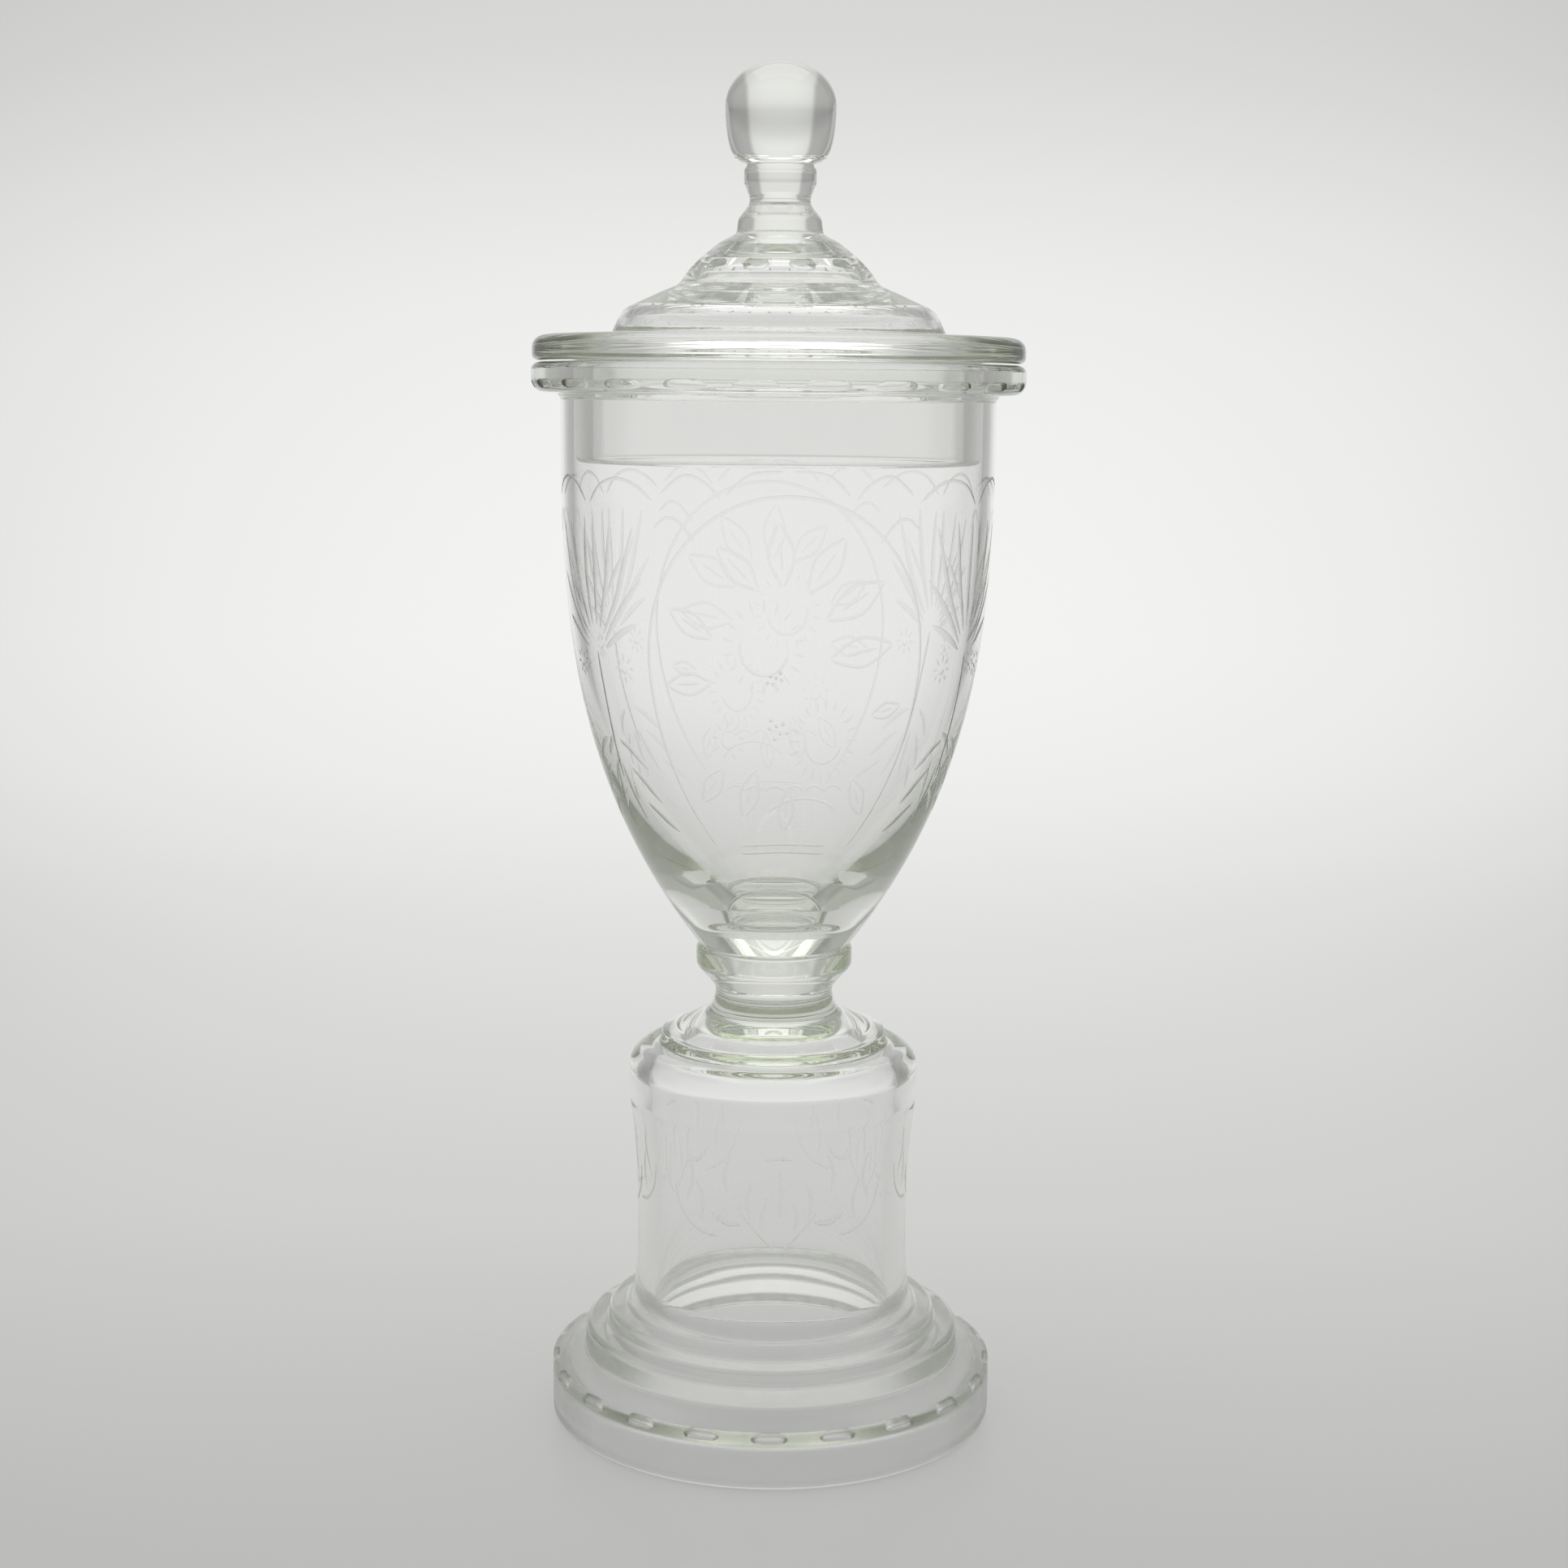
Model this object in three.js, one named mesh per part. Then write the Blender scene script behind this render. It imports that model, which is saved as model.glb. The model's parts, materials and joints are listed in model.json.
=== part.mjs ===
// Covered goblet of colourless glass: a loose domed cover on a tall bowl, stem and hollow pedestal.
// Millimetres, +Z up, origin at the centre of the ring that the foot stands on.
// Every piece is turned round the vertical axis. Pieces that are melted together share a flat joint.

import * as THREE from 'three';

// Faceting of every turned piece
const SIDES = 36;
const CURVE_STEPS = 4;
const BOWL_STEPS = 14;

// Pedestal drum, a tube that widens a little towards its top
const DRUM_RADIUS = 30.4;
const DRUM_HEIGHT = 47.6;
const DRUM_WALL = 5;
const DRUM_FOOT_SPREAD = 0.9;
const DRUM_TOP_SPREAD = 1.9;
const DRUM_WAIST_HEIGHT = 11;

// Foot, measured outwards from the drum: two ring mouldings and a plinth
const FLARE_HEIGHT = 3.7;
const FLARE_SPREAD = 2;
const UPPER_TREAD = 5.7;
const UPPER_RING_HEIGHT = 3.7;
const LOWER_TREAD = 5.2;
const LOWER_RING_HEIGHT = 5.7;
const RING_ROUNDING = 1.6;
const PLINTH_TREAD = 7.5;
const PLINTH_SIDE_HEIGHT = 12.3;
const PLINTH_SLOPE_RISE = 3;
const PLINTH_ROUNDING = 2;

// Hollow under the foot: an upright mouth, a slope inwards and a cone that narrows up to the drum
const MOUTH_WALL = 4;
const MOUTH_HEIGHT = 8.5;
const MOUTH_SLOPE_RISE = 2.5;
const MOUTH_SLOPE_WIDTH = 8.2;

// Pedestal cap, which closes the drum: a rounded shoulder, a low step and a crown. The hollow
// rises into it, round under the shoulder and higher under the crown
const CAP_SIDE_HEIGHT = 3;
const CAP_SHOULDER_HEIGHT = 6.6;
const CAP_SHOULDER_WIDTH = 7;
const CAP_STEP_HEIGHT = 2.8;
const CAP_CROWN_HEIGHT = 5.1;
const SHELF_RISE = 5.7;
const SHELF_WIDTH = 5.3;
const CEILING_RISE = 10;
const CEILING_FLAT_RADIUS = 18;
const CEILING_CURL_RADIUS = 14;

// Stem: a waisted neck and a rounded collar
const NECK_RADIUS = 13;
const NECK_HEIGHT = 7.5;
const NECK_FLARE = 1;
const COLLAR_RADIUS = 17.4;
const COLLAR_HEIGHT = 7.2;
const COLLAR_UNDERCUT = 2.9;
const COLLAR_LIP = 0.7;

// Bowl: full above, drawn in to its foot. The wall thickens downwards to a solid base, and the
// cavity ends in a small flat floor with a rounded corner
const BOWL_RADIUS = 47.2;
const BOWL_HEIGHT = 119.8;
const BOWL_FULLNESS = 3.05;
const BOWL_WALL = 2.8;
const BOWL_FLOOR_THICKNESS = 7.6;
const BASE_THICKENING = 10;
const THICKENING_FADE = 6;
const FLOOR_CORNER_HEIGHT = 5;
const FLOOR_CORNER_WIDTH = 4;
const OUTSIDE_CROWDING = 1.5;
const CAVITY_CROWDING = 1.6;

// Rolled rim of the bowl
const RIM_OVERHANG = 6.3;
const RIM_HEIGHT = 7.8;
const RIM_UNDERCUT = 0.8;
const RIM_SEAT_INSET = 1.6;

// Cover seat: the air between the ground faces, and round the fitting ring
const SEAT_GAP = 0.3;
const FIT_CLEARANCE = 0.5;

// Cover: fitting ring, flange, lower dome and upper bell
const FITTING_RING_WALL = 3.6;
const FITTING_RING_DEPTH = 21.5;
const FITTING_RING_ROUNDING = 1.2;
const FLANGE_INSET = 0.2;
const FLANGE_HEIGHT = 6.1;
const FLANGE_EDGE_HEIGHT = 5.5;
const FLANGE_EDGE_WIDTH = 5.6;
const DOME_INSET = 4.1;
const DOME_HEIGHT = 9.4;
const COVER_WALL = 3;
const BELL_RADIUS = 22.6;
const BELL_HEIGHT = 11.8;
const BELL_WALL = 4.2;
const BELL_FOOT_RUN = 2.8;
const BELL_FOOT_RISE = 4.6;
const BELL_TOP_RUN = 5;
const BELL_TOP_DROP = 1.9;
const BELL_CAVITY_HEIGHT = 7.5;
const BELL_CAVITY_TAPER = 1.6;

// Finial: collar, knop and ball
const FINIAL_COLLAR_RADIUS = 9;
const FINIAL_COLLAR_HEIGHT = 6.6;
const FINIAL_WAIST_RADIUS = 6;
const FINIAL_WAIST_PULL = 0.7;
const KNOP_RADIUS = 7.8;
const KNOP_HEIGHT = 8;
const KNOP_LIP = 0.4;
const KNOP_EDGE_HEIGHT = 1.2;
const BALL_RADIUS = 11.9;
const BALL_LOWER_HEIGHT = 12;
const BALL_UPPER_HEIGHT = 10;
const BALL_BELLY_RISE = 3;

// Finish of the glass in this model
const CLEAR = '#d9ddd6';
const THICK = '#c3cbbb';
const GLOSS_ROUGHNESS = 0.05;
const GLASS_OPACITY = 0.45;

// Radii that follow from the sizes above
const drumFootRadius = DRUM_RADIUS + DRUM_FOOT_SPREAD;
const drumTopRadius = DRUM_RADIUS + DRUM_TOP_SPREAD;
const drumFootBore = drumFootRadius - DRUM_WALL;
const drumTopBore = drumTopRadius - DRUM_WALL;
const upperRingRadius = drumFootRadius + UPPER_TREAD;
const lowerRingRadius = upperRingRadius + LOWER_TREAD;
const plinthRadius = lowerRingRadius + PLINTH_TREAD;
const footMouthRadius = plinthRadius - MOUTH_WALL;
const coneFootRadius = footMouthRadius - MOUTH_SLOPE_WIDTH;
const shoulderTopRadius = drumTopRadius - CAP_SHOULDER_WIDTH;
const neckEndRadius = NECK_RADIUS + NECK_FLARE;
const bowlFootRadius = COLLAR_RADIUS - COLLAR_LIP;
const bowlBore = BOWL_RADIUS - BOWL_WALL;
const rimRadius = BOWL_RADIUS + RIM_OVERHANG;
const fittingRingRadius = bowlBore - FIT_CLEARANCE;
const fittingRingBore = fittingRingRadius - FITTING_RING_WALL;
const flangeRadius = rimRadius - FLANGE_INSET;
const domeRadius = fittingRingBore - DOME_INSET;
const bellBore = BELL_RADIUS - BELL_WALL;
const ballSeatRadius = KNOP_RADIUS - KNOP_LIP;

// Levels of the joints, from the foot to the top of the finial
const plinthTop = PLINTH_SIDE_HEIGHT + PLINTH_SLOPE_RISE;
const lowerRingTop = plinthTop + LOWER_RING_HEIGHT;
const upperRingTop = lowerRingTop + UPPER_RING_HEIGHT;
const drumFoot = upperRingTop + FLARE_HEIGHT;
const coneFoot = MOUTH_HEIGHT + MOUTH_SLOPE_RISE;
const drumTop = drumFoot + DRUM_HEIGHT;
const shoulderTop = drumTop + CAP_SIDE_HEIGHT + CAP_SHOULDER_HEIGHT;
const crownFoot = shoulderTop + CAP_STEP_HEIGHT;
const capTop = crownFoot + CAP_CROWN_HEIGHT;
const neckTop = capTop + NECK_HEIGHT;
const collarTop = neckTop + COLLAR_HEIGHT;
const cavityFloor = collarTop + BOWL_FLOOR_THICKNESS;
const bowlTop = collarTop + BOWL_HEIGHT;
const rimTop = bowlTop + RIM_HEIGHT;
const seat = rimTop + SEAT_GAP;
const flangeTop = seat + FLANGE_HEIGHT;
const domeTop = flangeTop + DOME_HEIGHT;
const bellTop = domeTop + BELL_HEIGHT;
const finialCollarTop = bellTop + FINIAL_COLLAR_HEIGHT;
const knopTop = finialCollarTop + KNOP_HEIGHT;
const ballMiddle = knopTop + BALL_LOWER_HEIGHT;

// Radius of the cone under the foot, which ends in the drum's bore at the top of the upper ring
function footCone(height) {
  const rise = (height - coneFoot) / (upperRingTop - coneFoot);
  return THREE.MathUtils.lerp(coneFootRadius, drumFootBore, rise);
}

// Spins a closed outline of (radius, height) points into a named glass solid
function turned(name, points, color) {
  const geometry = new THREE.LatheGeometry([...points, points[0].clone()], SIDES);
  geometry.rotateX(Math.PI / 2);
  const glass = new THREE.MeshStandardMaterial({
    color, roughness: GLOSS_ROUGHNESS, metalness: 0, transparent: true, opacity: GLASS_OPACITY,
  });
  const mesh = new THREE.Mesh(geometry, glass);
  mesh.name = name;
  return mesh;
}

function outline(radius, height) {
  return new THREE.Path().moveTo(radius, height);
}

// A corner rounded outwards from the current point to the given one, both tangents square
function round(path, cornerRadius, cornerHeight, endRadius, endHeight) {
  return path.quadraticCurveTo(cornerRadius, cornerHeight, endRadius, endHeight);
}

function footPlinth() {
  const edge = plinthRadius - PLINTH_ROUNDING;
  const path = outline(footMouthRadius, 0).lineTo(edge, 0);
  round(path, plinthRadius, 0, plinthRadius, PLINTH_ROUNDING);
  path.lineTo(plinthRadius, PLINTH_SIDE_HEIGHT - PLINTH_ROUNDING);
  round(path, plinthRadius, PLINTH_SIDE_HEIGHT, edge, PLINTH_SIDE_HEIGHT);
  path.lineTo(lowerRingRadius, plinthTop).lineTo(footCone(plinthTop), plinthTop);
  path.lineTo(coneFootRadius, coneFoot).lineTo(footMouthRadius, MOUTH_HEIGHT);
  return path.getPoints(CURVE_STEPS);
}

function footLowerRing() {
  const path = outline(footCone(plinthTop), plinthTop).lineTo(lowerRingRadius, plinthTop);
  path.lineTo(lowerRingRadius, lowerRingTop - RING_ROUNDING);
  round(path, lowerRingRadius, lowerRingTop, lowerRingRadius - RING_ROUNDING, lowerRingTop);
  path.lineTo(footCone(lowerRingTop), lowerRingTop);
  return path.getPoints(CURVE_STEPS);
}

// The upper ring carries the flare that runs up into the drum
function footUpperRing() {
  const flareFoot = drumFootRadius + FLARE_SPREAD;
  const path = outline(footCone(lowerRingTop), lowerRingTop).lineTo(upperRingRadius, lowerRingTop);
  path.lineTo(upperRingRadius, upperRingTop - RING_ROUNDING);
  round(path, upperRingRadius, upperRingTop, upperRingRadius - RING_ROUNDING, upperRingTop);
  path.lineTo(flareFoot, upperRingTop);
  round(path, drumFootRadius, upperRingTop, drumFootRadius, drumFoot);
  path.lineTo(drumFootBore, drumFoot).lineTo(drumFootBore, upperRingTop);
  return path.getPoints(CURVE_STEPS);
}

function pedestalDrum() {
  const waist = drumFoot + DRUM_WAIST_HEIGHT;
  const path = outline(drumFootBore, drumFoot).lineTo(drumFootRadius, drumFoot);
  path.quadraticCurveTo(DRUM_RADIUS, drumFoot + DRUM_WAIST_HEIGHT / 2, DRUM_RADIUS, waist);
  path.quadraticCurveTo(DRUM_RADIUS, (waist + drumTop) / 2, drumTopRadius, drumTop);
  path.lineTo(drumTopBore, drumTop);
  path.quadraticCurveTo(DRUM_RADIUS - DRUM_WALL, (waist + drumTop) / 2, DRUM_RADIUS - DRUM_WALL, waist);
  path.quadraticCurveTo(DRUM_RADIUS - DRUM_WALL, waist - DRUM_WAIST_HEIGHT / 2, drumFootBore, drumFoot);
  return path.getPoints(CURVE_STEPS);
}

// Its underside is the domed ceiling of the hollow pedestal
function pedestalCap() {
  const sideTop = drumTop + CAP_SIDE_HEIGHT;
  const ceiling = drumTop + CEILING_RISE;
  const shelf = drumTop + SHELF_RISE;
  const path = outline(0, ceiling);
  path.bezierCurveTo(
    CEILING_FLAT_RADIUS, ceiling, CEILING_CURL_RADIUS, shelf, drumTopBore - SHELF_WIDTH, shelf,
  );
  round(path, drumTopBore, shelf, drumTopBore, drumTop);
  path.lineTo(drumTopRadius, drumTop).lineTo(drumTopRadius, sideTop);
  round(path, drumTopRadius, shoulderTop, shoulderTopRadius, shoulderTop);
  path.lineTo(shoulderTopRadius, crownFoot);
  path.quadraticCurveTo(neckEndRadius, crownFoot + CAP_CROWN_HEIGHT / 2, neckEndRadius, capTop);
  path.lineTo(0, capTop);
  return path.getPoints(CURVE_STEPS);
}

function stemNeck() {
  const middle = (capTop + neckTop) / 2;
  const path = outline(0, capTop).lineTo(neckEndRadius, capTop);
  path.quadraticCurveTo(NECK_RADIUS, capTop, NECK_RADIUS, middle);
  path.quadraticCurveTo(NECK_RADIUS, neckTop, neckEndRadius, neckTop);
  path.lineTo(0, neckTop);
  return path.getPoints(CURVE_STEPS);
}

function stemCollar() {
  const middle = (neckTop + collarTop) / 2;
  const path = outline(0, neckTop).lineTo(COLLAR_RADIUS - COLLAR_UNDERCUT, neckTop);
  round(path, COLLAR_RADIUS, neckTop, COLLAR_RADIUS, middle);
  path.quadraticCurveTo(COLLAR_RADIUS, collarTop, bowlFootRadius, collarTop);
  path.lineTo(0, collarTop);
  return path.getPoints(CURVE_STEPS);
}

// Outside, the bowl swells from its foot and grows upright
function bowlOutside(height) {
  const rise = (height - collarTop) / (bowlTop - collarTop);
  return THREE.MathUtils.lerp(bowlFootRadius, BOWL_RADIUS, 1 - (1 - rise) ** BOWL_FULLNESS);
}

function bowlInside(height) {
  const rise = (height - cavityFloor) / (bowlTop - cavityFloor);
  return bowlOutside(height) - BOWL_WALL - BASE_THICKENING * (1 - rise) ** THICKENING_FADE;
}

function bowl() {
  const cornerTop = cavityFloor + FLOOR_CORNER_HEIGHT;
  const cornerRadius = bowlInside(cornerTop);
  const path = outline(0, collarTop);
  for (let step = 0; step <= BOWL_STEPS; step += 1) {
    const height = THREE.MathUtils.lerp(collarTop, bowlTop, (step / BOWL_STEPS) ** OUTSIDE_CROWDING);
    path.lineTo(bowlOutside(height), height);
  }
  for (let step = BOWL_STEPS; step >= 0; step -= 1) {
    const height = THREE.MathUtils.lerp(cornerTop, bowlTop, (step / BOWL_STEPS) ** CAVITY_CROWDING);
    path.lineTo(bowlInside(height), height);
  }
  const floorRadius = cornerRadius - FLOOR_CORNER_WIDTH;
  path.quadraticCurveTo(cornerRadius - FLOOR_CORNER_WIDTH / 2, cavityFloor, floorRadius, cavityFloor);
  path.lineTo(0, cavityFloor);
  return path.getPoints(CURVE_STEPS);
}

function bowlRim() {
  const middle = (bowlTop + rimTop) / 2;
  const path = outline(bowlBore, bowlTop).lineTo(BOWL_RADIUS + RIM_UNDERCUT, bowlTop);
  round(path, rimRadius, bowlTop, rimRadius, middle);
  round(path, rimRadius, rimTop, rimRadius - RIM_SEAT_INSET, rimTop);
  path.lineTo(bowlBore, rimTop);
  return path.getPoints(CURVE_STEPS);
}

function coverFittingRing() {
  const foot = seat - FITTING_RING_DEPTH;
  const path = outline(fittingRingBore, seat).lineTo(fittingRingBore, foot + FITTING_RING_ROUNDING);
  round(path, fittingRingBore, foot, fittingRingBore + FITTING_RING_ROUNDING, foot);
  path.lineTo(fittingRingRadius - FITTING_RING_ROUNDING, foot);
  round(path, fittingRingRadius, foot, fittingRingRadius, foot + FITTING_RING_ROUNDING);
  path.lineTo(fittingRingRadius, seat);
  return path.getPoints(CURVE_STEPS);
}

// The flange lies on the rim; its hollow draws in from the fitting ring to the dome
function coverFlange() {
  const edgeTop = seat + FLANGE_EDGE_HEIGHT;
  const path = outline(fittingRingBore, seat).lineTo(flangeRadius - RIM_SEAT_INSET, seat);
  round(path, flangeRadius, seat, flangeRadius, seat + RIM_SEAT_INSET);
  round(path, flangeRadius, edgeTop, flangeRadius - FLANGE_EDGE_WIDTH, edgeTop);
  path.lineTo(domeRadius, flangeTop).lineTo(domeRadius - COVER_WALL, flangeTop);
  return path.getPoints(CURVE_STEPS);
}

function coverDome() {
  const inside = domeRadius - COVER_WALL;
  const path = outline(inside, flangeTop).lineTo(domeRadius, flangeTop);
  path.absellipse(BELL_RADIUS, flangeTop, domeRadius - BELL_RADIUS, DOME_HEIGHT, 0, Math.PI / 2);
  path.lineTo(bellBore, domeTop).lineTo(bellBore, domeTop - COVER_WALL);
  path.absellipse(
    bellBore, flangeTop, inside - bellBore, DOME_HEIGHT - COVER_WALL, Math.PI / 2, 0, true,
  );
  return path.getPoints(CURVE_STEPS * 2);
}

function coverBell() {
  const cavityTop = domeTop + BELL_CAVITY_HEIGHT;
  const path = outline(bellBore, domeTop).lineTo(BELL_RADIUS, domeTop);
  path.bezierCurveTo(
    BELL_RADIUS - BELL_FOOT_RUN, domeTop + BELL_FOOT_RISE,
    FINIAL_COLLAR_RADIUS + BELL_TOP_RUN, bellTop - BELL_TOP_DROP,
    FINIAL_COLLAR_RADIUS, bellTop,
  );
  path.lineTo(0, bellTop).lineTo(0, cavityTop);
  path.quadraticCurveTo(bellBore - BELL_CAVITY_TAPER, cavityTop, bellBore, domeTop);
  return path.getPoints(CURVE_STEPS * 2);
}

function finialCollar() {
  const pull = bellTop + FINIAL_COLLAR_HEIGHT * FINIAL_WAIST_PULL;
  const path = outline(0, bellTop).lineTo(FINIAL_COLLAR_RADIUS, bellTop);
  path.bezierCurveTo(
    FINIAL_COLLAR_RADIUS, pull, FINIAL_WAIST_RADIUS, pull, FINIAL_WAIST_RADIUS, finialCollarTop,
  );
  path.lineTo(0, finialCollarTop);
  return path.getPoints(CURVE_STEPS);
}

function finialKnop() {
  const path = outline(0, finialCollarTop).lineTo(FINIAL_WAIST_RADIUS, finialCollarTop);
  const edge = knopTop - KNOP_EDGE_HEIGHT;
  path.quadraticCurveTo(KNOP_RADIUS, finialCollarTop + KNOP_HEIGHT / 2, KNOP_RADIUS, edge);
  round(path, KNOP_RADIUS, knopTop, ballSeatRadius, knopTop);
  path.lineTo(0, knopTop);
  return path.getPoints(CURVE_STEPS);
}

function finialBall() {
  const path = outline(0, knopTop).lineTo(ballSeatRadius, knopTop);
  path.quadraticCurveTo(BALL_RADIUS, knopTop + BALL_BELLY_RISE, BALL_RADIUS, ballMiddle);
  path.absellipse(0, ballMiddle, BALL_RADIUS, BALL_UPPER_HEIGHT, 0, Math.PI / 2);
  return path.getPoints(CURVE_STEPS);
}

const goblet = new THREE.Group();
goblet.add(
  turned('foot_plinth', footPlinth(), CLEAR),
  turned('foot_lower_ring', footLowerRing(), CLEAR),
  turned('foot_upper_ring', footUpperRing(), CLEAR),
  turned('pedestal_drum', pedestalDrum(), CLEAR),
  turned('pedestal_cap', pedestalCap(), CLEAR),
  turned('stem_neck', stemNeck(), CLEAR),
  turned('stem_collar', stemCollar(), CLEAR),
  turned('bowl', bowl(), CLEAR),
  turned('bowl_rim', bowlRim(), THICK),
);

const cover = new THREE.Group();
cover.add(
  turned('cover_fitting_ring', coverFittingRing(), CLEAR),
  turned('cover_flange', coverFlange(), THICK),
  turned('cover_dome', coverDome(), CLEAR),
  turned('cover_bell', coverBell(), CLEAR),
  turned('finial_collar', finialCollar(), CLEAR),
  turned('finial_knop', finialKnop(), CLEAR),
  turned('finial_ball', finialBall(), CLEAR),
);

const coveredGoblet = new THREE.Group();
coveredGoblet.add(goblet, cover);

export default coveredGoblet;
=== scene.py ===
import json
import math
from dataclasses import dataclass

import bmesh
import bpy
import numpy as np
from mathutils import Matrix, Vector

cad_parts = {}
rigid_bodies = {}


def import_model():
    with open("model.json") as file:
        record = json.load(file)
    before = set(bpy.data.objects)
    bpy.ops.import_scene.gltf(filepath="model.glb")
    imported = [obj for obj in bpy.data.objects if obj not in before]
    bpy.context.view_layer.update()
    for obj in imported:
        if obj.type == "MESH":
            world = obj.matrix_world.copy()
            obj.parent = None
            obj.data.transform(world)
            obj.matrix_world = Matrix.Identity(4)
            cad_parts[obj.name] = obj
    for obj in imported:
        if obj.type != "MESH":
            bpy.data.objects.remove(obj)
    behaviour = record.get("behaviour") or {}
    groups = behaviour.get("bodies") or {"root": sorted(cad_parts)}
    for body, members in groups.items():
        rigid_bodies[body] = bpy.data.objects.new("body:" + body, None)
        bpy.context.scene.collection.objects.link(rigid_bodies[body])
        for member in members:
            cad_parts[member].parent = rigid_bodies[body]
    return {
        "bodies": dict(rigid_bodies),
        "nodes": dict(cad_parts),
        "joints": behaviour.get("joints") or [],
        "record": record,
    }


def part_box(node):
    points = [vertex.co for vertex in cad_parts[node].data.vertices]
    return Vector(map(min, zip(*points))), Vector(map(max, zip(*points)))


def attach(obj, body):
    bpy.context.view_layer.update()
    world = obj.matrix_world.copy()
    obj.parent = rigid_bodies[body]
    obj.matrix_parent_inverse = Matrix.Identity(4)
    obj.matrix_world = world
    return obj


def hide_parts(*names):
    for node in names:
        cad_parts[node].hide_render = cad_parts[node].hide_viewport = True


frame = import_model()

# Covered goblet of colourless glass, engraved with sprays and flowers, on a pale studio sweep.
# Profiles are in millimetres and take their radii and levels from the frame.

MM = 0.001
SIDES = 160
CORNER_STEPS = 6
CURVE_STEPS = 36
SHARP_TURN = math.radians(35)


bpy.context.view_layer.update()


@dataclass
class Span:
    """Outer radius, foot level and top level of a node of the frame."""
    radius: float
    foot: float
    top: float


def span(node):
    low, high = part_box(node)
    return Span(high.x / MM, low.z / MM, high.z / MM)


plinth = span("foot_plinth")
lower_ring = span("foot_lower_ring")
upper_ring = span("foot_upper_ring")
drum = span("pedestal_drum")
cap = span("pedestal_cap")
neck = span("stem_neck")
collar = span("stem_collar")
bowl = span("bowl")
rim = span("bowl_rim")
fitting = span("cover_fitting_ring")
flange = span("cover_flange")
dome = span("cover_dome")
bell = span("cover_bell")
waist = span("finial_collar")
knop = span("finial_knop")
ball = span("finial_ball")

# Sizes that the boxes of the nodes don't give
DRUM_SPREAD = 1.9
DRUM_FOOT_SPREAD = 0.9
DRUM_WAIST_HEIGHT = 11
DRUM_WALL = 5
FLARE_HEIGHT = 3.7
PLINTH_SIDE = 13
MOUTH_WALL = 4
MOUTH_HEIGHT = 8.5
CONE_FOOT_HEIGHT = 11
CONE_FOOT_INSET = 12.2
BOWL_WALL = 2.8
BOWL_FOOT_RADIUS = 16.7
BOWL_FULLNESS = 3.05
FLOOR_THICKNESS = 7.6
BASE_THICKENING = 10
THICKENING_FADE = 6
FLOOR_CORNER_HEIGHT = 5
FLOOR_CORNER_WIDTH = 4
FITTING_WALL = 3.6
COVER_WALL = 3
BELL_WALL = 4.2
NECK_RADIUS = 13
BALL_FOOT = 279.0
BALL_FOOT_RADIUS = 9.2
BALL_RISE = 10
BALL_LOW_STEPS = 8
BALL_TOP_STEPS = 12


def rounded(corners):
    """An outline through (radius, height) corners; a third number rounds that corner by an arc."""
    points = []
    for index, corner in enumerate(corners):
        here = Vector(corner[:2])
        turn = corner[2] if len(corner) > 2 else 0
        if turn <= 0:
            points.append(tuple(here))
            continue
        back = Vector(corners[index - 1][:2]) - here
        ahead = Vector(corners[index + 1][:2]) - here
        half = back.angle(ahead) / 2
        reach = min(turn / math.tan(half), back.length * 0.49, ahead.length * 0.49)
        size = reach * math.tan(half)
        start, end = here + back.normalized() * reach, here + ahead.normalized() * reach
        centre = here + (back.normalized() + ahead.normalized()).normalized() * size / math.sin(half)
        first = math.atan2(start.y - centre.y, start.x - centre.x)
        last = math.atan2(end.y - centre.y, end.x - centre.x)
        sweep = (last - first + math.pi) % (2 * math.pi) - math.pi
        for step in range(CORNER_STEPS + 1):
            angle = first + sweep * step / CORNER_STEPS
            points.append((centre.x + size * math.cos(angle), centre.y + size * math.sin(angle)))
    return points


def drum_radius(height):
    """Outer radius of the drum, which flares at its foot and widens slowly to its top."""
    rise = (height - drum.foot) / (drum.top - drum.foot)
    foot_rise = min(1, (height - drum.foot) / DRUM_WAIST_HEIGHT)
    top_rise = max(0, (rise - 0.2) / 0.8)
    swell = top_rise ** 5 * (6 - 5 * top_rise)
    return drum.radius - DRUM_SPREAD * (1 - swell) + DRUM_FOOT_SPREAD * (1 - foot_rise) ** 2


def bowl_radius(height):
    """Outer radius of the bowl, which swells from its foot and then grows upright."""
    rise = (height - bowl.foot) / (bowl.top - bowl.foot)
    return BOWL_FOOT_RADIUS + (bowl.radius - BOWL_FOOT_RADIUS) * (1 - (1 - rise) ** BOWL_FULLNESS)


def levels(low, high, crowding=1.0):
    """Heights from low to high; a crowding over one draws them towards the low one."""
    return [low + (high - low) * (step / CURVE_STEPS) ** crowding for step in range(CURVE_STEPS + 1)]


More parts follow.
